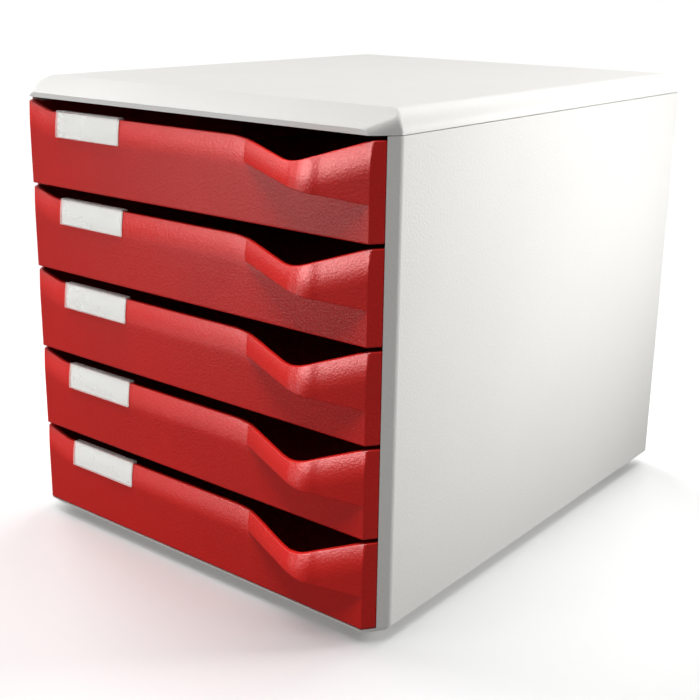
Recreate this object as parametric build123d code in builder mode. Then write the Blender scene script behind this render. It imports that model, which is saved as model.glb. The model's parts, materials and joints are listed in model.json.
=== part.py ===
from build123d import *
import os
from math import atan2, cos, sin, sqrt, tan

# Overall size of the unit: across, front to back over the finger pulls, and up from the desk
unit_width = 285.0
unit_depth = 355.0
unit_height = 290.0

# Drawers, stacked at one pitch
drawer_count = 5
drawer_pitch = 53.6
drawer_travel = 250.0

# Casing
casing_wall = 2.6
foot_height = 5.0
base_height = 4.5
cover_height = 12.1
shoulder_radius = 12.0

# Cut-off front corners of the plan: the drawer fronts carry the inner share, the casing the rest
corner_width = 9.8
corner_depth = 13.4
drawer_share = 0.485
casing_share = 0.52

# Cover front: an upright lip, then a hollow fascia that slopes back to the flat top
lip_height = 2.9
fascia_depth = 20.0
fascia_hollow = 0.7
fascia_corner_radius = 7.0
fascia_crease_radius = 3.0

# Locating rim under the cover, and the catches that hold it
rim_depth = 10.0
rim_thickness = 1.7
rim_clearance = 0.2
catch_length = 14.0
catch_height = 2.5
catch_reach = 1.2
catch_spacing = 100.0
window_clearance = 0.25

# Tongues under the walls' lower flanges, pushed into slots in the base
flange_reach = 5.0
flange_height = 3.0
tongue_length = 20.0
tongue_thickness = 1.4
tongue_depth = 3.0
tongue_clearance = 0.1

# Runner rails on the side walls, and the shoulder behind each front corner that stops the drawers
rail_reach = 8.4
rail_thickness = 2.5
rail_clearance = 0.3
shoulder_depth = 15.0
rail_lead_in = 4.0

# Drawer mouldings
drawer_wall = 2.4
drawer_gap = 2.4
tray_length = 330.0
tray_lift = 4.0
tray_rim_drop = 1.4
tray_corner = 8.0

# Bow of the front and its pull: upright low down, then back along an arc towards the top edge
bow_start = 25.0
bow_radius = 260.0

# Top edge of the drawer front: high at both ends, level over the label, dipped at the finger pull
level_height = 45.6
level_left = -114.5
level_right = 41.4
dip_x = 92.0
dip_height = 37.4
left_sweep_radius = 20.0
right_sweep_radius = 60.0
dip_radius = 40.0

# Finger pull: a hollow beak that stands out of the front, deeper towards the right
pull_left = 48.9
pull_tip_x = 97.9
pull_reach = 15.0
pull_flank_reach = 16.4
pull_low_left = 32.0
pull_low_right = 19.6

# Stop lugs on the drawer's sides
lug_reach = 1.9
lug_land = 2.0
lug_length = 10.0
lug_low = 8.0
lug_height = 9.0

# Clear label clip hooked over the front's top edge, and the card behind its window
label_left = -106.5
label_width = 56.2
label_height = 16.0
clip_thickness = 1.2
clip_gap = 0.1
clip_hook = 8.0
card_thickness = 0.25
card_clearance = 0.05
card_margin = 0.4
card_step = 1.0

# Rubber feet
foot_radius = 9.0
foot_seat = 1.5
foot_fit = 0.1
foot_bevel = 0.8
foot_spacing_x = 220.0
foot_spacing_y = 270.0

# Levels and planes worked out from the sizes above
half_width = unit_width / 2
back_y = unit_depth / 2
front_y = pull_reach - unit_depth / 2
casing_length = back_y - front_y
mid_y = (front_y + back_y) / 2
wall_z = foot_height + base_height
cover_z = unit_height - cover_height
wall_height = cover_z - wall_z
inner_x = half_width - casing_wall
corner_x = half_width - corner_width
first_drawer_z = cover_z - drawer_count * drawer_pitch
front_height = drawer_pitch - drawer_gap
tray_rim = front_height - tray_rim_drop
drawer_levels = [first_drawer_z + level * drawer_pitch for level in range(drawer_count)]


def corner_point(share):
    """Point on the cut-off right front corner, counted from the front plane outwards."""
    return (corner_x + share * corner_width, front_y + share * corner_depth)


# Plans seen from above: the casing, one side wall with its stop shoulder, and the drawer
casing_plan = [
    (-corner_x, front_y),
    (corner_x, front_y),
    (half_width, front_y + corner_depth),
    (half_width, back_y),
    (-half_width, back_y),
    (-half_width, front_y + corner_depth),
]
post_x, post_y = corner_point(casing_share)
shoulder_y = front_y + shoulder_depth
side_wall_plan = [
    (half_width, front_y + corner_depth),
    (half_width, back_y),
    (inner_x, back_y),
    (inner_x, shoulder_y),
    (post_x, shoulder_y),
    (post_x, post_y),
]
drawer_x, drawer_end_y = corner_point(drawer_share)
tray_back = front_y + tray_length
drawer_plan = [
    (-corner_x, front_y),
    (corner_x, front_y),
    (drawer_x, drawer_end_y),
    (drawer_x, tray_back),
    (-drawer_x, tray_back),
    (-drawer_x, drawer_end_y),
]

os.makedirs("parts", exist_ok=True)


def finish(builder, name):
    """Name a finished piece and write it to its own file."""
    builder.part.label = name
    export_step(builder.part, f"parts/{name}.step")


# Base plate: floor of the casing, sloped in all round, with slots for the walls and seats for the feet
tongue_x = inner_x - rail_reach / 2
tongue_y = back_y - casing_wall - flange_reach / 2
slot_length = tongue_length + 2 * tongue_clearance
slot_width = tongue_thickness + 2 * tongue_clearance
slot_depth = tongue_depth + tongue_clearance

with BuildPart() as base_plate:
    with BuildSketch(Plane.XY.offset(wall_z)):
        Polygon(*casing_plan)
    extrude(amount=-base_height, taper=45)
    with BuildSketch(Plane.XY.offset(foot_height)):
        with Locations((0, mid_y)):
            with GridLocations(foot_spacing_x, foot_spacing_y, 2, 2):
                Circle(foot_radius + foot_fit)
    extrude(amount=foot_seat, mode=Mode.SUBTRACT)
    with BuildSketch(Plane.XY.offset(wall_z)):
        with Locations((0, mid_y)):
            with GridLocations(2 * tongue_x, catch_spacing, 2, 3):
                Rectangle(slot_width, slot_length)
        with Locations((0, tongue_y)):
            with GridLocations(catch_spacing, 1, 2, 1):
                Rectangle(slot_length, slot_width)
    extrude(amount=-slot_depth, mode=Mode.SUBTRACT)
finish(base_plate, "base_plate")

# Rubber feet: four pads with a bevelled rim, pushed into the seats
with BuildPart() as rubber_feet:
    with BuildSketch():
        with Locations((0, mid_y)):
            with GridLocations(foot_spacing_x, foot_spacing_y, 2, 2):
                Circle(foot_radius)
    extrude(amount=foot_height + foot_seat)
    chamfer(rubber_feet.edges().group_by(Axis.Z)[0], length=foot_bevel)
finish(rubber_feet, "rubber_feet")

# Side walls: a panel with a runner rail under each drawer, the lowest thickened into a flange that
# stands on the base, with tongues below it and catches near the top
rail_plan = [
    (inner_x, shoulder_y),
    (inner_x - rail_reach + rail_lead_in, shoulder_y),
    (inner_x - rail_reach, shoulder_y + rail_lead_in),
    (inner_x - rail_reach, back_y - casing_wall),
    (inner_x, back_y - casing_wall),
]
rail_top = tray_lift - rail_clearance
catch_z = cover_z - rim_depth / 2

with BuildPart() as right_side_wall:
    with BuildSketch(Plane.XY.offset(wall_z)):
        Polygon(*side_wall_plan)
    extrude(amount=wall_height)
    for drawer_z in drawer_levels:
        with BuildSketch(Plane.XY.offset(drawer_z + rail_top - rail_thickness)):
            Polygon(*rail_plan)
        extrude(amount=rail_thickness)
    with BuildSketch(Plane.XY.offset(wall_z)):
        Polygon(*rail_plan)
    extrude(amount=first_drawer_z + rail_top - wall_z)
    with BuildSketch(Plane.XY.offset(wall_z)):
        with Locations((tongue_x, mid_y)):
            with GridLocations(1, catch_spacing, 1, 3):
                Rectangle(tongue_thickness, tongue_length)
    extrude(amount=-tongue_depth)
    with BuildSketch(Plane.XZ.offset(-(mid_y + catch_length / 2))):
        with Locations((inner_x, catch_z)):
            Polygon((0, -catch_height / 2), (0, catch_height / 2), (-catch_reach, catch_height / 2))
    catch = extrude(amount=catch_length)
    for shift in (-catch_spacing, catch_spacing):
        with Locations((0, shift, 0)):
            add(catch)
finish(right_side_wall, "right_side_wall")

with BuildPart() as left_side_wall:
    mirror(right_side_wall.part, about=Plane.YZ)
finish(left_side_wall, "left_side_wall")

# Back wall: a panel between the side walls, with a flange that stands on the base and two tongues below it
with BuildPart() as back_wall:
    with BuildSketch(Plane.XY.offset(wall_z)):
        with Locations((0, back_y)):
            Rectangle(2 * inner_x, casing_wall, align=(Align.CENTER, Align.MAX))
    extrude(amount=wall_height)
    with BuildSketch(Plane.XY.offset(wall_z)):
        with Locations((0, back_y - casing_wall)):
            Rectangle(catch_spacing + 2 * tongue_length, flange_reach, align=(Align.CENTER, Align.MAX))
    extrude(amount=flange_height)
    with BuildSketch(Plane.XY.offset(wall_z)):
        with Locations((0, tongue_y)):
            with GridLocations(catch_spacing, 1, 2, 1):
                Rectangle(tongue_length, tongue_thickness)
    extrude(amount=-tongue_depth)
finish(back_wall, "back_wall")

# Hollow of the cover: its section across the unit, cut off behind the fascia and before the back
cover_inside_top = unit_height - casing_wall
lip_z = cover_z + lip_height
hollow_front = front_y + casing_wall
hollow_back = back_y - casing_wall

with BuildPart() as cover_hollow:
    with BuildSketch(Plane.XZ.offset(-hollow_back)) as hollow_section:
        with Locations((0, cover_z)):
            Rectangle(2 * inner_x, cover_inside_top - cover_z, align=(Align.CENTER, Align.MIN))
        fillet(hollow_section.vertices().group_by(Axis.Y)[-1], radius=shoulder_radius - casing_wall)
    extrude(amount=hollow_back - hollow_front)
    with BuildSketch(Plane.YZ.offset(-half_width)):
        Polygon(
            (hollow_front + corner_depth, cover_z),
            (hollow_front + fascia_depth + casing_wall, cover_inside_top),
            (hollow_back, cover_inside_top),
            (hollow_back, cover_z),
        )
    extrude(amount=unit_width, mode=Mode.INTERSECT)

# Top cover: a cap with round shoulders, its front sloped back and its corners cut off as the plan is
rim_x = inner_x - rim_clearance
rim_front = shoulder_y + rim_clearance
rim_back = back_y - casing_wall - rim_clearance
window_length = catch_length + 2 * window_clearance
window_height = catch_height + 2 * window_clearance

with BuildPart() as top_cover:
    with BuildSketch(Plane.XZ.offset(-back_y)) as cover_section:
        with Locations((0, cover_z)):
            Rectangle(unit_width, cover_height, align=(Align.CENTER, Align.MIN))
        fillet(cover_section.vertices().group_by(Axis.Y)[-1], radius=shoulder_radius)
    extrude(amount=casing_length)
    with BuildSketch(Plane.XY.offset(cover_z)):
        Polygon(*casing_plan)
    extrude(amount=cover_height, mode=Mode.INTERSECT)
    with BuildSketch(Plane.YZ.offset(-half_width)):
        with BuildLine():
            SagittaArc((front_y, lip_z), (front_y + fascia_depth, unit_height), -fascia_hollow)
            Polyline(
                (front_y + fascia_depth, unit_height),
                (front_y + fascia_depth, unit_height + cover_height),
                (front_y - cover_height, unit_height + cover_height),
                (front_y - cover_height, lip_z),
                (front_y, lip_z),
            )
        make_face()
    extrude(amount=unit_width, mode=Mode.SUBTRACT)
    corner_edges = top_cover.edges().filter_by(GeomType.ELLIPSE).sort_by(Axis.Y)[:2]
    fillet(corner_edges, radius=fascia_corner_radius)
    fascia_crease = top_cover.edges().filter_by(Axis.X).group_by(Axis.Z)[-1].sort_by(Axis.Y)[0]
    fillet(fascia_crease, radius=fascia_crease_radius)
    add(cover_hollow.part, mode=Mode.SUBTRACT)
    with BuildSketch(Plane.XY.offset(cover_z - rim_depth)):
        with Locations((0, (rim_front + rim_back) / 2)):
            Rectangle(2 * rim_x, rim_back - rim_front)
        with Locations((0, (rim_front + rim_back - rim_thickness) / 2)):
            Rectangle(2 * (rim_x - rim_thickness), rim_back - rim_front - rim_thickness, mode=Mode.SUBTRACT)
    extrude(amount=rim_depth + shoulder_radius / 3)
    with Locations((0, mid_y, catch_z)):
        with GridLocations(2 * rim_x, catch_spacing, 2, 3):
            Box(4 * rim_thickness, window_length, window_height, mode=Mode.SUBTRACT)
finish(top_cover, "top_cover")

# Finger pull, outside and inside: a wedge in plan, cut off along a line that falls to the right.
# Its tip is rounded by just as much as takes it back from the flanks' meeting point to the pull's reach.
# The outside bows back with the front, so the bow's section is cut away along the wedge's outline.
flank_left = atan2(pull_flank_reach, pull_tip_x - pull_left)
flank_right = atan2(pull_flank_reach, corner_x - pull_tip_x)
tip_ratio = cos((flank_left - flank_right) / 2) / cos((flank_left + flank_right) / 2)
pull_tip_radius = (pull_flank_reach - pull_reach) / (tip_ratio - 1)
pull_back = front_y + drawer_wall
bow_depth = bow_radius - sqrt(bow_radius**2 - (front_height - bow_start) ** 2)


def pull_plan(depth_behind):
    """Corners of the wedge, with its flanks drawn on behind the front plane by a given depth."""
    return [
        (pull_left - depth_behind / tan(flank_left), front_y + depth_behind),
        (pull_tip_x, front_y - pull_flank_reach),
        (corner_x + depth_behind / tan(flank_right), front_y + depth_behind),
    ]


def below_pull(lift):
    """Corners of the region under the pull's lower edge, raised by a given lift, seen from the front."""
    slope = (pull_low_right - pull_low_left) / (corner_x - pull_left)
    middle_low = pull_low_left + lift - slope * pull_left
    return [
        (-half_width, middle_low - slope * half_width),
        (half_width, middle_low + slope * half_width),
        (half_width, -front_height),
        (-half_width, -front_height),
    ]


with BuildPart() as pull_outside:
    with BuildSketch() as outside_plan:
        Polygon(*pull_plan(drawer_wall)[:2], (corner_x, front_y), (corner_x, pull_back))
        fillet(outside_plan.vertices().sort_by(Axis.Y)[0], radius=pull_tip_radius)
    extrude(amount=front_height)
    with BuildSketch(Plane.XZ.offset(-pull_back)):
        Polygon(*below_pull(0))
    extrude(amount=2 * pull_reach, mode=Mode.SUBTRACT)
    with BuildLine() as pull_outline:
        FilletPolyline(*pull_plan(2 * drawer_wall), radius=pull_tip_radius)
    inwards = (sin(flank_left), cos(flank_left), 0)
    with BuildSketch(Plane(pull_outline.line @ 0, x_dir=inwards, z_dir=pull_outline.line % 0)):
        with BuildLine():
            TangentArc((0, bow_start), (bow_depth, front_height), tangent=(0, 1))
            Polyline(
                (bow_depth, front_height),
                (-bow_depth, front_height),
                (-bow_depth, bow_start),
                (0, bow_start),
            )
        make_face()
    sweep(path=pull_outline.line, mode=Mode.SUBTRACT)

with BuildPart() as pull_inside:
    with BuildSketch() as inside_plan:
        Polygon(*pull_plan(2 * drawer_wall))
        fillet(inside_plan.vertices().sort_by(Axis.Y)[0], radius=pull_tip_radius)
        offset(amount=-drawer_wall, kind=Kind.INTERSECTION, mode=Mode.REPLACE)
    extrude(amount=front_height)
    with BuildSketch(Plane.XZ.offset(-front_y - 2 * drawer_wall)):
        Polygon(*below_pull(drawer_wall))
    extrude(amount=2 * pull_reach, mode=Mode.SUBTRACT)

# Drawer: tray and front in one moulding, drawn with its lower edge at height zero
lug_y = shoulder_y + drawer_travel + rail_clearance

with BuildPart() as drawer:
    with BuildSketch(Plane.XY.offset(tray_lift)) as tray_outline:
        Polygon(*drawer_plan)
        fillet(tray_outline.vertices().group_by(Axis.Y)[-1], radius=tray_corner)
    extrude(amount=front_height - tray_lift)
    with BuildSketch():
        Polygon(*drawer_plan)
        offset(amount=-drawer_wall, kind=Kind.INTERSECTION, mode=Mode.SUBTRACT)
        with Locations((0, front_y)):
            Rectangle(unit_width, 2 * (drawer_end_y - front_y), mode=Mode.INTERSECT)
    extrude(amount=tray_lift)
    with BuildSketch(Plane.YZ.offset(-half_width)):
        with BuildLine():
            TangentArc((front_y, bow_start), (front_y + bow_depth, front_height), tangent=(0, 1))
            Polyline(
                (front_y + bow_depth, front_height),
                (front_y - bow_depth, front_height),
                (front_y - bow_depth, bow_start),
                (front_y, bow_start),
            )
        make_face()
    extrude(amount=unit_width, mode=Mode.SUBTRACT)
    add(pull_outside.part)
    with BuildSketch(Plane.XY.offset(tray_lift + drawer_wall)) as tray_inside:
        Polygon(*drawer_plan)
        offset(amount=-drawer_wall, kind=Kind.INTERSECTION, mode=Mode.REPLACE)
        fillet(tray_inside.vertices().group_by(Axis.Y)[-1], radius=tray_corner - drawer_wall)
    extrude(amount=front_height, mode=Mode.SUBTRACT)
    add(pull_inside.part, mode=Mode.SUBTRACT)
    with BuildSketch(Plane.XY.offset(tray_rim)):
        with Locations((0, drawer_end_y + drawer_wall)):
            Rectangle(unit_width, tray_length, align=(Align.CENTER, Align.MIN))
    extrude(amount=front_height, mode=Mode.SUBTRACT)
    with BuildSketch(Plane.XZ.offset(-drawer_end_y)):
        with BuildLine():
            FilletPolyline(
                (-corner_x, front_height),
                (level_left, level_height),
                (level_right, level_height),
                (dip_x, dip_height),
                (corner_x, front_height),
                radius=[left_sweep_radius, right_sweep_radius, dip_radius],
            )
            Polyline(
                (corner_x, front_height),
                (corner_x, 2 * front_height),
                (-corner_x, 2 * front_height),
                (-corner_x, front_height),
            )
        make_face()
    extrude(amount=2 * pull_reach, mode=Mode.SUBTRACT)
    with BuildSketch(Plane.XY.offset(lug_low)) as lug_plan:
        Polygon(
            (drawer_x, lug_y),
            (drawer_x + lug_reach, lug_y),
            (drawer_x + lug_reach, lug_y + lug_land),
            (drawer_x, lug_y + lug_length),
        )
        mirror(about=Plane.YZ)
    extrude(amount=lug_height)

# Label clip: a window that follows the front, a bridge over its top edge and a leg behind it
label_low = level_height + clip_gap + clip_thickness - label_height
clip_top = level_height + clip_gap + clip_thickness
window_back = card_thickness + 2 * card_clearance
window_front = window_back + clip_thickness
leg_front = drawer_wall + clip_gap
strip_steps = 4


def front_face_y(height, proud):
    """Depth of a surface that lies proud of the drawer front, at a given height."""
    rise = max(0.0, height - bow_start)
    return front_y - proud + bow_radius - sqrt(bow_radius**2 - rise**2)


def strip_profile(low, high, near, far):
    """Corners of a strip on the drawer front, between two distances from it."""
    heights = [low + (high - low) * step / strip_steps for step in range(strip_steps + 1)]
    outer = [(front_face_y(height, far), height) for height in heights]
    inner = [(front_face_y(height, near), height) for height in reversed(heights)]
    return outer + inner


with BuildPart() as label_holder:
    with BuildSketch(Plane.YZ.offset(label_left)):
        Polygon(*strip_profile(label_low, clip_top, window_back, window_front))
        Polygon(
            (front_face_y(clip_top, window_back), clip_top),
            (front_y + leg_front + clip_thickness, clip_top),
            (front_y + leg_front + clip_thickness, clip_top - clip_hook),
            (front_y + leg_front, clip_top - clip_hook),
            (front_y + leg_front, clip_top - clip_thickness),
            (front_face_y(clip_top - clip_thickness, window_back), clip_top - clip_thickness),
        )
    extrude(amount=label_width)

# Label card: a slip as wide as the window, narrower by a small step at its lower left
with BuildPart() as label_card:
    with BuildSketch(Plane.YZ.offset(label_left + card_margin)):
        card_near = card_clearance
        card_far = card_clearance + card_thickness
        Polygon(*strip_profile(label_low + card_margin, level_height, card_near, card_far))
    extrude(amount=label_width - 2 * card_margin)
    with BuildSketch(Plane.XZ.offset(-front_y)):
        with Locations((label_left, label_low)):
            Rectangle(
                card_margin + card_step,
                label_height / 2,
                align=(Align.MIN, Align.MIN),
            )
    extrude(amount=window_front, mode=Mode.SUBTRACT)

# The five drawers with their labels, numbered from the top down
for number, drawer_z in enumerate(reversed(drawer_levels), start=1):
    for piece, name in ((drawer, "drawer"), (label_holder, "label_holder"), (label_card, "label_card")):
        with BuildPart() as placed:
            with Locations((0, 0, drawer_z)):
                add(piece.part)
        finish(placed, f"{name}_{number}")
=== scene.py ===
import json
from math import atan2, cos, pi, radians, sin, sqrt, tan

import bmesh
import bpy
from mathutils import Matrix, Vector

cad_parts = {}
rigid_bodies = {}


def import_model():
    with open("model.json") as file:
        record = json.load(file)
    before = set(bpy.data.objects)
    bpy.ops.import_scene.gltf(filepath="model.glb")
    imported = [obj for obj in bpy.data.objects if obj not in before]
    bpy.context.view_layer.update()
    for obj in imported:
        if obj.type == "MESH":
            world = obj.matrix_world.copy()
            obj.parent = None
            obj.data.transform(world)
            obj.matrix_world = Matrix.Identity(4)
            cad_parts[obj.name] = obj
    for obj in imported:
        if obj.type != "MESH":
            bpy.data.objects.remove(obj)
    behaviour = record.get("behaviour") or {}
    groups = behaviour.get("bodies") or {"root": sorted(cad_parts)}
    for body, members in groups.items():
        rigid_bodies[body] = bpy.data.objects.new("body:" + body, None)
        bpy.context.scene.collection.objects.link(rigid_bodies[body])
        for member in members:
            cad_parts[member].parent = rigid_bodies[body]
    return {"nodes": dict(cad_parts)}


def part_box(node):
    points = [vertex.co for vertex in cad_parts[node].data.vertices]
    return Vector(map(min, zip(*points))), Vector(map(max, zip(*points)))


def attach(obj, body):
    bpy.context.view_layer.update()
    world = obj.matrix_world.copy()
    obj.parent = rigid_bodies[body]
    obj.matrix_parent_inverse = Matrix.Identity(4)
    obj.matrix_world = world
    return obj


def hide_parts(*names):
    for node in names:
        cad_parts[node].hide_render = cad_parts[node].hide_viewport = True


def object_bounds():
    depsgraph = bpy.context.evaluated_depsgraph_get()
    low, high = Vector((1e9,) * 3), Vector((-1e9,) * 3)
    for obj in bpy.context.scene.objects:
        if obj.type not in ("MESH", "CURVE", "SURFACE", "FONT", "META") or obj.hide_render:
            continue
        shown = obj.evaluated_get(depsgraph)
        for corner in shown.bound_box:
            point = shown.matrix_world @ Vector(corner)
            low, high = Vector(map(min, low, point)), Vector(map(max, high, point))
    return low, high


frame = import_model()
cad_low, cad_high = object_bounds()


# Base plate: the floor of the casing, a flat moulding with a bevelled edge all round.
# It is made of off-white polystyrene, and its outer faces have the fine pebbled grain of an eroded mould.
# The walls' tongues push into slots in its top.

mm = 0.001


class Shade:
    """A socket of a node tree, on which Python's operators add Math nodes."""

    def __init__(self, socket):
        self.socket = socket

    def node(self, kind, settings, inputs, output=0):
        """Add any node to the same tree: its settings first, then the values or links of its sockets."""
        made = self.socket.id_data.nodes.new(kind)
        for name, value in settings.items():
            setattr(made, name, value)
        wire(made, inputs)
        return Shade(made.outputs[output])

    def maths(self, operation, first, second):
        """Add a Math node that works on two values."""
        return self.node("ShaderNodeMath", {"operation": operation}, {0: first, 1: second})

    def __add__(self, other):
        return self.maths("ADD", self, other)

    __radd__ = __add__

    def __sub__(self, other):
        return self.maths("SUBTRACT", self, other)

    def __rsub__(self, other):
        return self.maths("SUBTRACT", other, self)

    def __mul__(self, other):
        return self.maths("MULTIPLY", self, other)

    __rmul__ = __mul__

    def __truediv__(self, other):
        return self.maths("DIVIDE", self, other)

    def __rtruediv__(self, other):
        return self.maths("DIVIDE", other, self)

    def noise(self, grain, detail=2.0):
        """Smooth noise whose lumps are about as wide as the grain."""
        sizes = {"Vector": self, "Scale": 1 / grain, "Detail": detail}
        return self.node("ShaderNodeTexNoise", {}, sizes)

    def stretched(self):
        """Noise, which mostly lies from 0.3 to 0.7, stretched to run from 0 to 1 with soft ends."""
        marks = {"Value": self, "From Min": 0.3, "From Max": 0.7}
        return self.node("ShaderNodeMapRange", {"interpolation_type": "SMOOTHSTEP"}, marks)

    def between(self, first, second):
        """The first colour where this value is 0, and the second where it is 1."""
        return self.node("ShaderNodeMix", {"data_type": "RGBA"}, {0: self, 6: first, 7: second}, 2)

    def bump(self, depth):
        """A surface normal that reads this value as a relief of the given depth."""
        return self.node("ShaderNodeBump", {}, {"Height": self, "Distance": depth}, "Normal")


def wire(node, inputs):
    """Give a node's sockets their values, or links where the value is a socket itself."""
    for name, value in inputs.items():
        if isinstance(value, Shade):
            node.id_data.links.new(value.socket, node.inputs[name])
        else:
            node.inputs[name].default_value = value


def new_finish(name):
    """A material, its shader, and the place on the piece that its pattern is drawn by."""
    material = bpy.data.materials.new(name)
    material.use_nodes = True
    nodes = material.node_tree.nodes
    place = Shade(nodes.new("ShaderNodeTexCoord").outputs["Object"])
    return material, nodes["Principled BSDF"], place


casing_white = (0.815, 0.805, 0.775, 1)
casing_shaded = (0.785, 0.775, 0.745, 1)
casing_shine = 0.2
pebble = 1.5 * mm
pebble_depth = 0.13 * mm
casing_patch = 90.0 * mm
casing_speck = 0.35 * mm

casing_plastic, shader, place = new_finish("casing_plastic")
grain = place.noise(pebble, detail=3)
patches = place.noise(casing_patch)
specks = place.noise(casing_speck)
wire(shader, {
    "Base Color": (0.6 * patches + 0.4 * specks).stretched().between(casing_white, casing_shaded),
    "Roughness": 0.42 + 0.12 * patches - 0.06 * grain,
    "Normal": (grain + 0.3 * specks).bump(pebble_depth),
    "Specular IOR Level": casing_shine,
})


def add_piece(name, shape, material):
    """A new object at the origin, made from a bmesh and shaded smooth."""
    mesh = bpy.data.meshes.new(name)
    shape.to_mesh(mesh)
    shape.free()
    mesh.materials.append(material)
    mesh.shade_smooth()
    piece = bpy.data.objects.new(name, mesh)
    bpy.context.scene.collection.objects.link(piece)
    return piece


def settle(piece):
    """Turn what a piece's modifiers make into its own plain mesh."""
    graph = bpy.context.evaluated_depsgraph_get()
    piece.data = bpy.data.meshes.new_from_object(piece.evaluated_get(graph))
    piece.modifiers.clear()


weld = 0.002 * mm
flat_angle = radians(0.5)
sharp_angle = radians(27)


def moulded_copy(node, name, material, edge_radius, rounder=None, reshape=None):
    """A copy of a solid as a moulding comes out of its tool, with every sharp edge a little round.

    A rounder is a test that picks some edges, and their larger radius. A reshape changes the shape last.
    """
    shape = bmesh.new()
    shape.from_mesh(frame["nodes"][node].data)
    bmesh.ops.remove_doubles(shape, verts=shape.verts, dist=weld)
    bmesh.ops.dissolve_limit(shape, angle_limit=flat_angle, verts=shape.verts, edges=shape.edges)
    arc = {"profile": 0.5, "affect": "EDGES"}
    if rounder:
        picks, radius = rounder
        soft = [edge for edge in shape.edges if picks(edge)]
        bmesh.ops.bevel(shape, geom=soft, offset=radius, segments=4, **arc)
    sharp = [edge for edge in shape.edges if edge.calc_face_angle(0) > sharp_angle]
    bmesh.ops.bevel(shape, geom=sharp, offset=edge_radius, segments=2, clamp_overlap=True, **arc)
    if reshape:
        reshape(shape)
    piece = add_piece(name, shape, material)
    piece.modifiers.new("flat faces stay flat", "WEIGHTED_NORMAL")
    settle(piece)
    return piece


def fit(piece, body, slot, *nodes):
    """The piece moves with a body and stands for the solids named, which are hidden. The slot is not used."""
    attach(piece, body)
    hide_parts(*nodes)


base_edge = 0.25 * mm
rear_corner = 1.4 * mm
corner_reach = 6.0 * mm


def base_corner(edge):
    """True for the edges that slope down at the base's rear corners."""
    one, other = (vert.co for vert in edge.verts)
    at_side = min(abs(one.x), abs(other.x)) > cad_high.x - corner_reach
    at_rear = min(one.y, other.y) > cad_high.y - corner_reach
    return at_side and at_rear and abs(one.z - other.z) > mm


base = moulded_copy("base_plate", "base_moulding", casing_plastic, base_edge, (base_corner, rear_corner))
fit(base, "casing", "casing", "base_plate")


# Side walls and back wall: panels of the same plastic, with runner rails moulded on the inner faces.
# They stand on the base, and catches at the top snap into the cover's rim.
# A fine gap stays open between the side walls and the cover.

wall_edge = 0.3 * mm
tall_edge = 200.0 * mm
hair = 0.01 * mm
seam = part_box("left_side_wall")[1].z
seam_gap = 0.4 * mm


def upright_corner(edge):
    """True for the long upright edges at a wall's outer corners."""
    one, other = (vert.co for vert in edge.verts)
    return abs(one.x) > cad_high.x - hair and abs(one.z - other.z) > tall_edge


def clear_of_cover(shape):
    """Draw a wall's top edge down a little, which leaves the fine gap that shows under the cover."""
    for vertex in shape.verts:
        if vertex.co.z > seam - seam_gap:
            vertex.co.z -= seam_gap


for side in ("left", "right"):
    wall = moulded_copy(
        f"{side}_side_wall",
        f"{side}_wall_moulding",
        casing_plastic,
        wall_edge,
        rounder=(upright_corner, rear_corner),
        reshape=clear_of_cover,
    )
    fit(wall, "casing", "casing", f"{side}_side_wall")
back = moulded_copy("back_wall", "back_moulding", casing_plastic, wall_edge)
fit(back, "casing", "casing", "back_wall")


# Top cover: a cap of the same plastic with round shoulders and a hollow fascia along its front.
# Its rim drops inside the walls and clips over their catches.

cover_edge = 0.3 * mm
cover_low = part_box("top_cover")[0].z
side_facing = 0.9


def rear_outline(edge):
    """True for the edges round the outside of the cover's rear face, over the shoulders and the top."""
    one, other = (vert.co for vert in edge.verts)
    at_rear = min(one.y, other.y) > cad_high.y - hair
    return at_rear and max(one.z, other.z) > cover_low + hair


cover = moulded_copy("top_cover", "cover_moulding", casing_plastic, cover_edge, (rear_outline, rear_corner))

# The round shoulders end upright at the seam, so their lowest facets are shaded so.
normals = [corner.vector.copy() for corner in cover.data.corner_normals]
for loop in cover.data.loops:
    at = cover.data.vertices[loop.vertex_index].co
    outward = 1 if at.x > 0 else -1
    if outward * normals[loop.index].x > side_facing and abs(at.z - seam) < seam_gap:
        normals[loop.index] = Vector((outward, 0, 0))
cover.data.normals_split_custom_set(normals)
fit(cover, "casing", "casing", "top_cover")


# Rubber feet: four black pads with a bevelled rim and a hollow underneath that grips the desk.
# They are moulded in soft rubber and pushed into round seats under the base.

rubber_black = (0.03, 0.03, 0.032, 1)
rubber_grey = (0.05, 0.05, 0.052, 1)
rubber_patch = 4.0 * mm
rubber_bloom = 2.0 * mm
rubber_grain = 0.4 * mm
rubber_depth = 0.03 * mm

rubber, shader, place = new_finish("foot_rubber")
wire(shader, {
    "Base Color": place.noise(rubber_patch).stretched().between(rubber_black, rubber_grey),
    "Roughness": 0.75 + 0.15 * place.noise(rubber_bloom),
    "Normal": place.noise(rubber_grain).bump(rubber_depth),
})

pad_sides = 48
pad_crease = radians(30)
pad_sizes = {
    "Pad radius": 9.0 * mm,
    "Pad height": 6.5 * mm,
    "Rim bevel": 0.8 * mm,
    "Hollow radius": 5.5 * mm,
    "Hollow depth": 0.7 * mm,
    "Spacing across": 220.0 * mm,
    "Spacing along": 270.0 * mm,
    "Middle": 7.5 * mm,
}
pads = bpy.data.node_groups.new("rubber_pads", "GeometryNodeTree")
pads.is_modifier = True
pads.interface.new_socket("Geometry", in_out="OUTPUT", socket_type="NodeSocketGeometry")
sockets = {}
for name in pad_sizes:
    sockets[name] = pads.interface.new_socket(name, in_out="INPUT", socket_type="NodeSocketFloat").identifier
given = pads.nodes.new("NodeGroupInput")
radius, height, bevel, hollow, hollow_depth, spacing_x, spacing_y, middle = (
    Shade(given.outputs[name]) for name in pad_sizes
)


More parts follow.
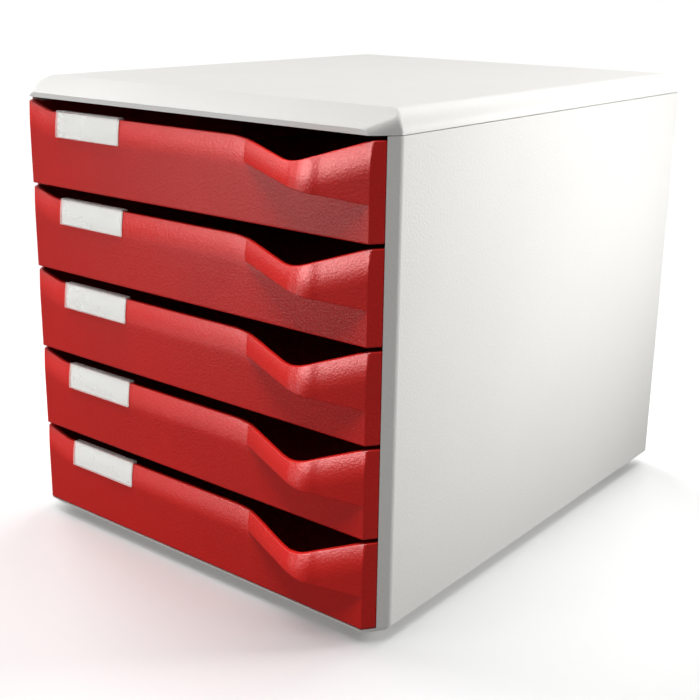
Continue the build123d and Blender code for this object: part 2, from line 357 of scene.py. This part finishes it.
def ring(pad, rim, rise, growth):
    """The next ring of a turned pad: its rim drawn up by the rise, then widened by the growth."""
    drawn = {"Mesh": pad, "Offset": (0, 0, 1), "Offset Scale": rise}
    if rim:
        drawn["Selection"] = rim
    lifted = pad.node("GeometryNodeExtrudeMesh", {"mode": "EDGES"}, drawn)
    new_rim = Shade(lifted.socket.node.outputs["Top"])
    wider = {"Geometry": lifted, "Selection": new_rim, "Scale": growth}
    return pad.node("GeometryNodeScaleElements", {"domain": "EDGE"}, wider), new_rim


disc = {"Vertices": pad_sides, "Radius": hollow}
ceiling = hollow.node("GeometryNodeMeshCircle", {"fill_type": "NGON"}, disc)
lift = hollow.node("ShaderNodeCombineXYZ", {}, {"Z": hollow_depth})
pad = ceiling.node("GeometryNodeTransform", {}, {"Geometry": ceiling, "Translation": lift})
pad, rim = ring(pad, None, 0 - hollow_depth, 1.0)
pad, rim = ring(pad, rim, 0.0, (radius - bevel) / hollow)
pad, rim = ring(pad, rim, bevel, radius / (radius - bevel))
pad, rim = ring(pad, rim, height - bevel, 1.0)
pad, rim = ring(pad, rim, 0.0, 0.0)
pad = pad.node("GeometryNodeMergeByDistance", {}, {"Geometry": pad, "Distance": hair})

corners = {"Size X": spacing_x, "Size Y": spacing_y, "Vertices X": 2, "Vertices Y": 2}
grid = spacing_x.node("GeometryNodeMeshGrid", {}, corners)
shift = middle.node("ShaderNodeCombineXYZ", {}, {"Y": middle})
grid = grid.node("GeometryNodeTransform", {}, {"Geometry": grid, "Translation": shift})
placed = grid.node("GeometryNodeInstanceOnPoints", {}, {"Points": grid, "Instance": pad})
real = placed.node("GeometryNodeRealizeInstances", {}, {"Geometry": placed})
finished = real.node("GeometryNodeSetMaterial", {}, {"Geometry": real, "Material": rubber})
wire(pads.nodes.new("NodeGroupOutput"), {"Geometry": finished})

feet = add_piece("feet_pads", bmesh.new(), rubber)
modifier = feet.modifiers.new("pads", "NODES")
modifier.node_group = pads
for name, size in pad_sizes.items():
    modifier[sockets[name]] = size
settle(feet)
feet.data.shade_smooth()
feet.data.set_sharp_from_angle(angle=pad_crease)
fit(feet, "casing", "foot_rubber", "rubber_feet")


# Drawers: a tray and its front in one red plastic moulding, with a hollow beak at the right as finger pull.
# The front bows back towards its top edge, and its grain is like fine leather.
# Each runs on a pair of rails, and a lug on each side stops it at the end of its travel.

drawer_red = (0.50, 0.010, 0.007, 1)
drawer_deep_red = (0.45, 0.008, 0.005, 1)
drawer_shine = 0.18
leather = 1.2 * mm
leather_depth = 0.11 * mm
drawer_patch = 60.0 * mm
drawer_speck = 0.3 * mm

drawer_plastic, shader, place = new_finish("drawer_plastic")
skin = {"Vector": place, "Scale": 1 / leather}
cells = place.node("ShaderNodeTexVoronoi", {"feature": "SMOOTH_F1"}, skin)
patches = place.noise(drawer_patch)
specks = place.noise(drawer_speck)
wire(shader, {
    "Base Color": (0.7 * patches + 0.3 * specks).stretched().between(drawer_red, drawer_deep_red),
    "Roughness": 0.28 + 0.10 * patches + 0.04 * specks,
    "Normal": (cells + 0.3 * specks).bump(leather_depth),
    "Specular IOR Level": drawer_shine,
})

drawer_numbers = range(1, 6)
drawer_wall = 2.4 * mm
tray_lift = 4.0 * mm
tray_rim_drop = 1.4 * mm
tray_corner = 8.0 * mm
corner_width = 9.8 * mm
corner_depth = 13.4 * mm
pull_reach = 15.0 * mm
lug_reach = 1.9 * mm
edge_round = 0.5 * mm

drawer_low, drawer_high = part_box("drawer_1")
front_height = drawer_high.z - drawer_low.z
front_y = drawer_low.y + pull_reach
tray_rim = front_height - tray_rim_drop
tray_back = drawer_high.y
corner_x = cad_high.x - corner_width
corner_slope = corner_depth / corner_width
side_x = drawer_high.x - lug_reach
side_y = front_y + (side_x - corner_x) * corner_slope

roll_height = 17.0 * mm
roll_radius = 90.0 * mm


def roll_back(height, top):
    """How far the front has rolled back at a height, below a top edge."""
    return max(0.0, roll_height - (top - height)) ** 2 / (2 * roll_radius)


def bend(points, radii, steps=8):
    """A line through points, with each inner corner turned into an arc of its radius."""
    line = [points[0]]
    for before, corner, after, radius in zip(points, points[1:], points[2:], radii):
        come = (before - corner).normalized()
        go = (after - corner).normalized()
        reach = radius * tan((pi - come.angle(go)) / 2)
        for step in range(steps + 1):
            share = step / steps
            line.append(corner + come * reach * (1 - share) ** 2 + go * reach * share**2)
    return line + [points[-1]]


level_height = 45.6 * mm
level_left = -114.5 * mm
level_right = 41.4 * mm
dip_x = 92.0 * mm
dip_height = 37.4 * mm
left_sweep_radius = 20.0 * mm
right_sweep_radius = 60.0 * mm
dip_radius = 40.0 * mm
top_line = bend(
    [
        Vector((-corner_x, front_height)),
        Vector((level_left, level_height)),
        Vector((level_right, level_height)),
        Vector((dip_x, dip_height)),
        Vector((corner_x, front_height)),
    ],
    [left_sweep_radius, right_sweep_radius, dip_radius],
)


def top_edge(x):
    """Height of the front's top edge at a place across it."""
    x = min(max(x, top_line[0].x), top_line[-1].x)
    for one, other in zip(top_line, top_line[1:]):
        if one.x <= x <= other.x:
            return one.y + (other.y - one.y) * (x - one.x) / (other.x - one.x)


pull_left = 48.9 * mm
pull_tip_x = 97.9 * mm
pull_flank_reach = 16.4 * mm
pull_low_left = 32.0 * mm
pull_low_right = 19.6 * mm
flank_left = atan2(pull_flank_reach, pull_tip_x - pull_left)
flank_right = atan2(pull_flank_reach, corner_x - pull_tip_x)
half_bend = (flank_left + flank_right) / 2
half_lean = (flank_right - flank_left) / 2
tip_radius = (pull_flank_reach - pull_reach) / (cos(half_lean) / cos(half_bend) - 1)
tip_middle = pull_tip_x + tip_radius * sin(half_lean) / cos(half_bend)


def pull_depth(x, inset=0.0):
    """How far the beak stands out of the front at a place across it, or its inner face when inset."""
    left = (x - pull_left) * tan(flank_left) - inset / cos(flank_left)
    right = (corner_x - x) * tan(flank_right) - inset / cos(flank_right)
    radius = tip_radius - inset
    off = x - tip_middle
    if -radius * sin(flank_left) < off < radius * sin(flank_right):
        return pull_reach - tip_radius + sqrt(radius**2 - off**2)
    return min(left, right)


def pull_low(x):
    """Height of the beak's lower edge, which falls to the right."""
    share = (x - pull_left) / (corner_x - pull_left)
    return pull_low_left + (pull_low_right - pull_low_left) * max(0.0, share)


def rows(start, end, between):
    """Heights from one edge to the next, close to both so that the edges stay crisp."""
    near = edge_round if end > start else -edge_round
    span = end - start - 2 * near
    return [start + near + span * row / (between + 1) for row in range(between + 2)]


side_shelf = 25.0 * mm


class Station:
    """One upright section of the drawer's wall, from its outer to its inner point in plan.

    Its wall runs from low to top, and the shelf is where the beak's lower edge lies. Reach and hollow are how
    far the beak stands out there, outside and inside, and the lean is the way that the wall rolls back.
    """

    def __init__(self, outer, inner, low=0.0, top=0.0, shelf=side_shelf, reach=0.0, hollow=0.0, lean=(0, 0)):
        self.outer = Vector(outer)
        self.inner = Vector(inner)
        self.low = low
        self.top = top
        self.shelf = shelf
        self.reach = reach
        self.hollow = hollow
        self.lean = Vector(lean)

    def outside(self, height, share=1.0):
        """A point on the outer face, with the share of the beak's reach that it stands out by."""
        at = self.outer + self.lean * roll_back(height, self.top) - Vector((0, self.reach * share))
        return (at.x, at.y, height)

    def inside(self, height, share=1.0, inset=0.0):
        """A point on the inner face, with the share of the beak's hollow, or further in by an inset."""
        at = self.inner + self.lean * roll_back(height, self.top) - Vector((0, self.hollow * share))
        at += (self.inner - self.outer).normalized() * inset
        return (at.x, at.y, height)

    def section(self):
        """Points from the tray's underside, up the outside, over the rim and down to the floor."""
        floor = tray_lift + drawer_wall
        shelf_top = self.shelf + drawer_wall
        points = [self.inside(tray_lift, 0, 2 * edge_round), self.inside(tray_lift, 0)]
        points += [self.inside(self.low + edge_round, 0), self.inside(self.low, 0)]
        points += [self.outside(self.low, 0)]
        points += [self.outside(height, 0) for height in rows(self.low, self.shelf, between=3)]
        points += [self.outside(self.shelf, share) for share in (0, 0.2, 0.8, 1)]
        points += [self.outside(height) for height in rows(self.shelf, self.top, between=7)]
        points += [self.outside(self.top), self.inside(self.top)]
        points += [self.inside(height) for height in rows(self.top, shelf_top, between=2)]
        points += [self.inside(shelf_top, share) for share in (1, 0.5, 0)]
        points += [self.inside(height, 0) for height in rows(shelf_top, floor, between=1)]
        points += [self.inside(floor, 0), self.inside(floor, 0, 2 * edge_round)]
        return points


corner_turn = atan2(corner_depth, corner_width)
inner_corner_x = corner_x - drawer_wall * tan(corner_turn / 2)
inner_front_y = front_y + drawer_wall
inner_side_x = side_x - drawer_wall
inner_side_y = side_y + drawer_wall * tan((pi / 2 - corner_turn) / 2)
plain_columns = 78
column_room = 1.2 * mm

crisp = [pull_left - edge_round, pull_left, pull_left + edge_round]
crisp += [-corner_x + edge_round, corner_x - edge_round]
across = [-corner_x + 2 * corner_x * step / plain_columns for step in range(plain_columns + 1)]
across = [x for x in across if all(abs(x - mark) > column_room for mark in crisp)]
across = sorted(across + crisp + [-corner_x, corner_x])

front_stations = []
for x in across:
    at_end = abs(x) > corner_x - edge_round / 2
    outward = 1 if x > 0 else -1
    inner_x = x * inner_corner_x / corner_x
    hollow = drawer_wall + max(-drawer_wall, pull_depth(inner_x, drawer_wall))
    front_stations.append(Station(
        (x, front_y),
        (inner_x, inner_front_y),
        top=top_edge(x),
        shelf=pull_low(x),
        reach=0.0 if at_end else max(0.0, pull_depth(x)),
        hollow=0.0 if at_end else hollow,
        lean=(outward / corner_slope, 1) if at_end else (0, 1),
    ))

step_length = 6.0 * mm
bend_lead = 8.0 * mm


def end_stations(right):
    """Stations from a front corner round the side to the middle of the back, on one side."""
    turn = 1 if right else -1
    start = front_stations[-1 if right else 0]
    end_outer = Vector((turn * side_x, side_y))
    end_inner = Vector((turn * inner_side_x, inner_side_y))
    stations = []
    # Along the cut-off corner, with a station close to each end
    for share in (0.07, 0.5, 0.93, 1.0):
        stations.append(Station(
            start.outer.lerp(end_outer, share),
            start.inner.lerp(end_inner, share),
            top=front_height,
            shelf=start.shelf + (side_shelf - start.shelf) * share,
            lean=start.lean * (1 - share),
        ))
    # Along the side, where the wall steps from the front's heights to the tray's
    for gone, low, top in ((0.1, 0, front_height), (1, tray_lift, tray_rim), (1.5, tray_lift, tray_rim)):
        y = side_y + gone * step_length
        inner_y = inner_side_y + gone * step_length
        stations.append(Station((turn * side_x, y), (turn * inner_side_x, inner_y), low, top))
    # Round the rear corner
    bend_middle = Vector((turn * (side_x - tray_corner), tray_back - tray_corner))
    for degrees, ahead in [(0, bend_lead)] + [(degrees, 0.0) for degrees in range(0, 91, 18)]:
        out = Vector((turn * cos(radians(degrees)), sin(radians(degrees))))
        middle = bend_middle - Vector((0, ahead))
        outer = middle + out * tray_corner
        inner = middle + out * (tray_corner - drawer_wall)
        stations.append(Station(outer, inner, tray_lift, tray_rim))
    return stations


round_right = end_stations(True)
round_left = end_stations(False)
stations = front_stations + round_right + round_left[::-1]

shape = bmesh.new()
columns = []
for station in stations:
    columns.append([shape.verts.new(point) for point in station.section()])
for column, after in zip(columns, columns[1:] + columns[:1]):
    for row in range(len(column) - 1):
        shape.faces.new((column[row], after[row], after[row + 1], column[row + 1]))
shape.faces.new([column[0] for column in columns])
shape.faces.new([column[-1] for column in columns])
bmesh.ops.remove_doubles(shape, verts=shape.verts, dist=hair)
bmesh.ops.dissolve_degenerate(shape, edges=shape.edges, dist=hair / 2)
bmesh.ops.recalc_face_normals(shape, faces=shape.faces)

first_drawer = add_piece("drawer_1_moulding", shape, drawer_plastic)
smooth = first_drawer.modifiers.new("moulded", "SUBSURF")
smooth.levels = 2
smooth.render_levels = 2
settle(first_drawer)

lug_y = 102.8 * mm
lug_land = 2.0 * mm
lug_length = 10.0 * mm
lug_low = 8.0 * mm
lug_high = 17.0 * mm
lug_root = 0.5 * mm

# The stop lugs are wedges with crisp edges, let a little way into the tray's sides.
shape = bmesh.new()
shape.from_mesh(first_drawer.data)
for turn in (1, -1):
    plan = [(-lug_root, 0), (lug_reach, 0), (lug_reach, lug_land), (0, lug_length), (-lug_root, lug_length)]
    rings = []
    for height in (lug_low, lug_high):
        rings.append([shape.verts.new((turn * (side_x + out), lug_y + along, height)) for out, along in plan])
    low, high = rings
    faces = [shape.faces.new(low), shape.faces.new(high)]
    for first in range(len(plan)):
        after = (first + 1) % len(plan)
        faces.append(shape.faces.new((low[first], low[after], high[after], high[first])))
    bmesh.ops.recalc_face_normals(shape, faces=faces)
    edges = dict.fromkeys(edge for face in faces for edge in face.edges)
    bmesh.ops.split_edges(shape, edges=list(edges))
shape.to_mesh(first_drawer.data)
shape.free()
first_drawer.data.shade_smooth()

roll_at_top = 0.42
front_facing = 0.5

# The face is shaded as if it rolled over a little further still towards its top edge.
normals = [vertex.normal.copy() for vertex in first_drawer.data.vertices]
for vertex, normal in zip(first_drawer.data.vertices, normals):
    on_front = vertex.co.y < front_y + drawer_wall and abs(vertex.co.x) < corner_x
    if on_front and -normal.y > front_facing:
        below = top_edge(vertex.co.x) - vertex.co.z
        normal.z += roll_at_top * max(0.0, 1 - below / roll_height)
        normal.normalize()
first_drawer.data.normals_split_custom_set_from_vertices(normals)
first_drawer.data.transform(Matrix.Translation((0, 0, drawer_low.z)))

for number in drawer_numbers:
    name = f"drawer_{number}"
    if number == 1:
        drawer = first_drawer
    else:
        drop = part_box(name)[0].z - drawer_low.z
        mesh = first_drawer.data.copy()
        mesh.transform(Matrix.Translation((0, 0, drop)))
        drawer = bpy.data.objects.new(f"{name}_moulding", mesh)
        bpy.context.scene.collection.objects.link(drawer)
    fit(drawer, name, "drawer", name)


# Label cards: blank slips of white uncoated card, one for each drawer.
# Each lies on a drawer's front, bent as the front is, and the clip over it holds it there.

card_white = (0.80, 0.80, 0.78, 1)
card_shaded = (0.76, 0.76, 0.74, 1)
fibre = 0.5 * mm
fibre_depth = 0.02 * mm

card_stock, shader, place = new_finish("card_stock")
fibres = place.noise(fibre, detail=4)
wire(shader, {
    "Base Color": fibres.stretched().between(card_white, card_shaded),
    "Roughness": 0.8 + 0.1 * fibres,
    "Normal": fibres.bump(fibre_depth),
})

card_edge = 0.05 * mm
bow_start = 25.0 * mm
bow_radius = 260.0 * mm
label_row = 0.8 * mm


def onto_front(number):
    """A bend that takes a label piece from the solid front's even bow to the moulding's rolled front."""
    lower_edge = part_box(f"drawer_{number}")[0].z

    def bend_rows(shape):
        """Cut the piece in rows, then move each row back as far as the moulding's front lies there."""
        for row in range(int(roll_height / label_row) + 1):
            level = (0, 0, lower_edge + level_height - row * label_row)
            everything = shape.verts[:] + shape.edges[:] + shape.faces[:]
            bmesh.ops.bisect_plane(shape, geom=everything, plane_co=level, plane_no=(0, 0, 1))
        for vertex in shape.verts:
            height = vertex.co.z - lower_edge
            even = max(0.0, height - bow_start) ** 2 / (2 * bow_radius)
            vertex.co.y += roll_back(height, level_height) - even

    return bend_rows


for number in drawer_numbers:
    node = f"label_card_{number}"
    card = moulded_copy(node, f"label_slip_{number}", card_stock, card_edge, reshape=onto_front(number))
    fit(card, f"drawer_{number}", "label_card", node)


# Label clips: clear windows moulded in polished plastic, one over each card.
# They hook over the fronts' top edges and are bent as the fronts are.

clip_clear = (0.93, 0.93, 0.90, 1)
clip_bright = (0.96, 0.96, 0.93, 1)
clip_veil = 0.28
clip_patch = 20.0 * mm
clip_haze = 8.0 * mm
clip_edge = 0.2 * mm

clear_plastic, shader, place = new_finish("clear_plastic")
wire(shader, {
    "Base Color": place.noise(clip_patch).between(clip_clear, clip_bright),
    "Roughness": 0.08 + 0.05 * place.noise(clip_haze),
    "Alpha": clip_veil,
})

for number in drawer_numbers:
    node = f"label_holder_{number}"
    clip = moulded_copy(node, f"label_clip_{number}", clear_plastic, clip_edge, reshape=onto_front(number))
    fit(clip, f"drawer_{number}", "label_clip", node)


# Floor: a plain white table top under the unit, matt and a little mottled, that runs on past the view.
# It gives back a set amount of light, as a table lit from below does, and is dim where the unit mirrors it.

floor_half = 20.0
floor_mottle = 60.0 * mm
seen_white = 0.94
bounced_white = 0.22
mirrored_white = 0.16
table_glow = 0.27

floor_paint, shader, place = new_finish("floor_paint")
rays = floor_paint.node_tree.nodes.new("ShaderNodeLightPath")
seen = Shade(rays.outputs["Is Camera Ray"])
bounced = Shade(rays.outputs["Is Diffuse Ray"])
white = mirrored_white + (seen_white - mirrored_white) * seen + (bounced_white - mirrored_white) * bounced
wire(shader, {
    "Base Color": white - 0.01 * place.noise(floor_mottle),
    "Roughness": 0.9,
    "Emission Color": table_glow * bounced,
    "Emission Strength": 1.0,
})

floor_shape = bmesh.new()
bmesh.ops.create_grid(floor_shape, x_segments=1, y_segments=1, size=floor_half)
floor = add_piece("floor", floor_shape, floor_paint)


# Light: broad soft light from overhead, the left and the back, a small softbox close to the right side, and
# a low panel at the left that the drawer fronts mirror. Two more lamps fall on the drawers and labels alone:
# a narrow one from above for the top edges, and a wide softbox in front that gives the fronts their sheen.

room_glow = 0.06

world = bpy.data.worlds.new("studio")
world.use_nodes = True
bpy.context.scene.world = world
background = world.node_tree.nodes["Background"]
seen = Shade(world.node_tree.nodes.new("ShaderNodeLightPath").outputs["Is Camera Ray"])
wire(background, {"Color": (1.0, 1.0, 1.0, 1), "Strength": room_glow + (1 - room_glow) * seen})


def lamp(name, kind, at, towards, settings):
    """A light at a place, facing a point."""
    light = bpy.data.lights.new(name, kind)
    for key, value in settings.items():
        setattr(light, key, value)
    made = bpy.data.objects.new(name, light)
    made.location = at
    made.rotation_euler = (Vector(towards) - Vector(at)).to_track_quat("-Z", "Y").to_euler()
    bpy.context.scene.collection.objects.link(made)
    return made


def sky(name, direction, spread, strength):
    """Light from far away, from a patch of sky as wide as the spread."""
    return lamp(name, "SUN", direction, (0, 0, 0), {"angle": radians(spread), "energy": strength})


def softbox(name, at, towards, width, height, power):
    """A flat rectangular light at a place, facing a point."""
    settings = {"shape": "RECTANGLE", "size": width, "size_y": height, "energy": power}
    return lamp(name, "AREA", at, towards, settings)


sky("overhead", direction=(0, 0, 1), spread=50, strength=1.4)
sky("left_sky", direction=(-0.85, 0.1, 0.55), spread=50, strength=2.0)
sky("back_sky", direction=(0, 0.8, 0.6), spread=50, strength=1.4)
right_softbox = softbox(
    "right_softbox", at=(0.64, 0.53, 0.33), towards=(0.14, 0.0, 0.21), width=0.3, height=0.3, power=0.64
)
right_softbox.data.spread = radians(50)
softbox(
    "front_panel", at=(-0.36, -0.76, 0.16), towards=(0.05, -0.16, 0.16), width=0.34, height=0.26, power=1.6
)

drawer_group = bpy.data.collections.new("drawer_fronts")
for piece in bpy.context.scene.objects:
    if piece.name.startswith(("drawer_", "label_")) and piece.type == "MESH":
        drawer_group.objects.link(piece)
front_strip = sky("front_strip", direction=(0, -0.2, 1), spread=30, strength=3.5)
front_strip.light_linking.receiver_collection = drawer_group
front_glint = softbox(
    "front_glint", at=(-0.11, -0.86, 0.72), towards=(0.0, -0.16, 0.2), width=0.95, height=0.6, power=41
)
front_glint.visible_diffuse = False
front_glint.light_linking.receiver_collection = drawer_group


# Camera: at the photograph's viewing angle, to the right of the unit and a little above it.
# It is tipped down, and its lens is shifted a little, so the uprights lean together only slightly.

camera_place = Vector((474.1, -610.9, 351.1)) * mm
camera_turn = radians(38.152)
camera_dip = radians(16.124)
camera_roll = radians(0.866)

camera_data = bpy.data.cameras.new("camera")
camera_data.lens = 60.09
camera_data.sensor_width = 36.0
camera_data.shift_y = -0.05
camera = bpy.data.objects.new("camera", camera_data)
turn = Matrix.Rotation(camera_turn, 4, "Z")
dip = Matrix.Rotation(pi / 2 - camera_dip, 4, "X")
roll = Matrix.Rotation(camera_roll, 4, "Z")
camera.matrix_world = Matrix.Translation(camera_place) @ turn @ dip @ roll
bpy.context.scene.collection.objects.link(camera)
bpy.context.scene.camera = camera
bpy.context.scene.view_settings.view_transform = "Standard"
